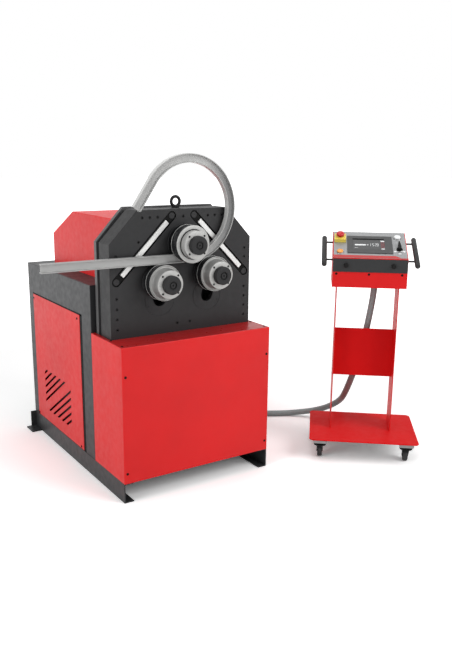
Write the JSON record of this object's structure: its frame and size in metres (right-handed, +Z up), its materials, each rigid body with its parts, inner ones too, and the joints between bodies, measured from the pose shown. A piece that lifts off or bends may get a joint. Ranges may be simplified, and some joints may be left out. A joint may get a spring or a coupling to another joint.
{
  "type": "profile bending machine",
  "caption": "Floor-standing three-roll section bending machine with a bent sample profile and a wheeled control console joined by a hose.",
  "frame": {"origin": "on the floor, midway between the two anchor holes in the rear foot angle", "axes": "+X to the machine's right seen from the front, +Y from the rolls to the cabinet's back, +Z up"},
  "size_m": [2.131, 1.6973, 1.6381],
  "materials": {
    "red_paint": "gloss powder coat",
    "dark_paint": "satin powder coat",
    "head_black": "satin",
    "bright_steel": "ground",
    "roll_steel": "turned",
    "black_steel": "blackened",
    "bar_metal": "mill finish",
    "cast_motor": "painted",
    "hose_jacket": "smooth",
    "black_plastic": "fine grain",
    "red_plastic": "gloss",
    "yellow_plastic": "satin",
    "orange_plastic": "satin",
    "white_plastic": "gloss",
    "face_metal": "anodised",
    "screen_dark": "satin",
    "wheel_rubber": "matt"
  },
  "bodies": {
    "machine": {"arm_pivot_shaft": "roll_steel", "cabinet_shell": "dark_paint", "console_back_panel": "red_paint", "console_base": "red_paint", "console_box": "red_paint", "console_faceplate": "face_metal", "console_front_band": "dark_paint", "console_handles": "black_plastic", "console_posts": "red_paint", "cylinder_barrels": "cast_motor", "display": "screen_dark", "estop_base": "yellow_plastic", "front_cover": "red_paint", "guide_bars": "bright_steel", "guide_beds": "black_steel", "head_front_plate": "head_black", "head_rear_plate": "head_black", "head_surround": "dark_paint", "hose": "hose_jacket", "hose_glands": "black_plastic", "hydraulic_unit": "cast_motor", "inner_frame": "dark_paint", "lifting_eye": "black_steel", "rear_caster_forks": "black_plastic", "rear_panel": "dark_paint", "sample_profile": "bar_metal", "side_panel_left": "red_paint", "side_panel_right": "red_paint", "skids": "dark_paint", "top_bearing_housing": "cast_motor", "top_drive_motor": "cast_motor", "top_hood": "red_paint"},
    "top_spin": {"top_shaft": "roll_steel", "top_roll": "roll_steel", "top_nut": "black_steel"},
    "left_arm": {"left_arm": "cast_motor", "left_motor": "cast_motor"},
    "right_arm": {"right_arm": "cast_motor", "right_motor": "cast_motor"},
    "left_spin": {"left_shaft": "roll_steel", "left_roll": "roll_steel", "left_nut": "black_steel"},
    "right_spin": {"right_shaft": "roll_steel", "right_roll": "roll_steel", "right_nut": "black_steel"},
    "left_rod": {"left_rod": "bright_steel"},
    "right_rod": {"right_rod": "bright_steel"},
    "estop_stem": {"estop_stem": "red_plastic"},
    "estop_head": {"estop_head": "red_plastic"},
    "orange_button": {"orange_button": "orange_plastic"},
    "white_button": {"white_button": "white_plastic"},
    "selector": {"selector_lever": "black_plastic"},
    "knob_left": {"knob_left": "black_plastic"},
    "knob_right": {"knob_right": "black_plastic"},
    "swivel_left": {"caster_fork_left": "black_plastic"},
    "swivel_right": {"caster_fork_right": "black_plastic"},
    "wheel_front_left": {"wheel_front_left": "wheel_rubber"},
    "wheel_front_right": {"wheel_front_right": "wheel_rubber"},
    "wheel_rear_left": {"wheel_rear_left": "wheel_rubber"},
    "wheel_rear_right": {"wheel_rear_right": "wheel_rubber"}
  },
  "joints": [
    {"name": "top_roll_spin", "type": "hinge", "parent": "machine", "child": "top_spin", "pos_m": [0, -1.058, 1.2155], "axis": [0, 1, 0], "continuous": true},
    {"name": "left_arm_swing", "type": "hinge", "parent": "machine", "child": "left_arm", "pos_m": [0, -0.946, 1.006], "axis": [0, -1, 0], "range_deg": [0, 37.24]},
    {"name": "right_arm_swing", "type": "hinge", "parent": "machine", "child": "right_arm", "pos_m": [0, -0.946, 1.006], "axis": [0, 1, 0], "range_deg": [0, 46.31]},
    {"name": "left_roll_spin", "type": "hinge", "parent": "left_arm", "child": "left_spin", "pos_m": [-0.14463, -1.058, 1.0374], "axis": [0, 1, 0], "continuous": true},
    {"name": "right_roll_spin", "type": "hinge", "parent": "right_arm", "child": "right_spin", "pos_m": [0.13788, -1.058, 1.0598], "axis": [0, 1, 0], "continuous": true},
    {"name": "left_rod_slide", "type": "slide", "parent": "machine", "child": "left_rod", "axis": [0, 0, -1], "range_m": [0, 0.0976]},
    {"name": "right_rod_slide", "type": "slide", "parent": "machine", "child": "right_rod", "axis": [0, 0, -1], "range_m": [0, 0.1214]},
    {"name": "estop_press", "type": "slide", "parent": "machine", "child": "estop_stem", "axis": [0.2646, 0.3131, -0.9121], "range_m": [0, 0.004]},
    {"name": "estop_twist", "type": "hinge", "parent": "estop_stem", "child": "estop_head", "pos_m": [0.91835, -1.14089, 1.20649], "axis": [0.2646, 0.3131, -0.9121], "range_deg": [0, 45], "stiffness_Nm_per_rad": 0.05, "springref_deg": -5.73},
    {"name": "orange_button_press", "type": "slide", "parent": "machine", "child": "orange_button", "axis": [0.2646, 0.3131, -0.9121], "range_m": [0, 0.004], "stiffness_N_per_m": 400, "springref_m": -0.002},
    {"name": "white_button_press", "type": "slide", "parent": "machine", "child": "white_button", "axis": [0.2646, 0.3131, -0.9121], "range_m": [0, 0.004], "stiffness_N_per_m": 400, "springref_m": -0.002},
    {"name": "selector_turn", "type": "hinge", "parent": "machine", "child": "selector", "pos_m": [1.10467, -1.40225, 1.14889], "axis": [-0.2646, -0.3131, 0.9121], "range_deg": [-45, 45]},
    {"name": "knob_left_turn", "type": "hinge", "parent": "machine", "child": "knob_left", "pos_m": [0.83858, -1.28486, 1.075], "axis": [-0.6455, -0.7638, 0], "range_deg": [0, 90]},
    {"name": "knob_right_turn", "type": "hinge", "parent": "machine", "child": "knob_right", "pos_m": [1.02648, -1.44365, 1.075], "axis": [-0.6455, -0.7638, 0], "range_deg": [0, 90]},
    {"name": "caster_left_swivel", "type": "hinge", "parent": "machine", "child": "swivel_left", "pos_m": [0.74255, -1.24822, 0.09], "axis": [0, 0, 1], "continuous": true},
    {"name": "caster_right_swivel", "type": "hinge", "parent": "machine", "child": "swivel_right", "pos_m": [1.1, -1.5503, 0.09], "axis": [0, 0, 1], "continuous": true},
    {"name": "wheel_front_left_spin", "type": "hinge", "parent": "swivel_left", "child": "wheel_front_left", "pos_m": [0.75933, -1.22837, 0.035], "axis": [0.7638, -0.6455, 0], "continuous": true},
    {"name": "wheel_front_right_spin", "type": "hinge", "parent": "swivel_right", "child": "wheel_front_right", "pos_m": [1.11679, -1.53044, 0.035], "axis": [0.7638, -0.6455, 0], "continuous": true},
    {"name": "wheel_rear_left_spin", "type": "hinge", "parent": "machine", "child": "wheel_rear_left", "pos_m": [0.9691, -0.98013, 0.035], "axis": [0.7638, -0.6455, 0], "continuous": true},
    {"name": "wheel_rear_right_spin", "type": "hinge", "parent": "machine", "child": "wheel_rear_right", "pos_m": [1.32656, -1.28221, 0.035], "axis": [0.7638, -0.6455, 0], "continuous": true}
  ],
  "couplings": [
    {"joint": "left_roll_spin", "follows": "top_roll_spin", "ratio": -0.6036},
    {"joint": "right_roll_spin", "follows": "top_roll_spin", "ratio": -0.6036},
    {"joint": "left_rod_slide", "follows": "left_arm_swing", "m_per_rad": 0.15},
    {"joint": "right_rod_slide", "follows": "right_arm_swing", "m_per_rad": 0.15}
  ]
}
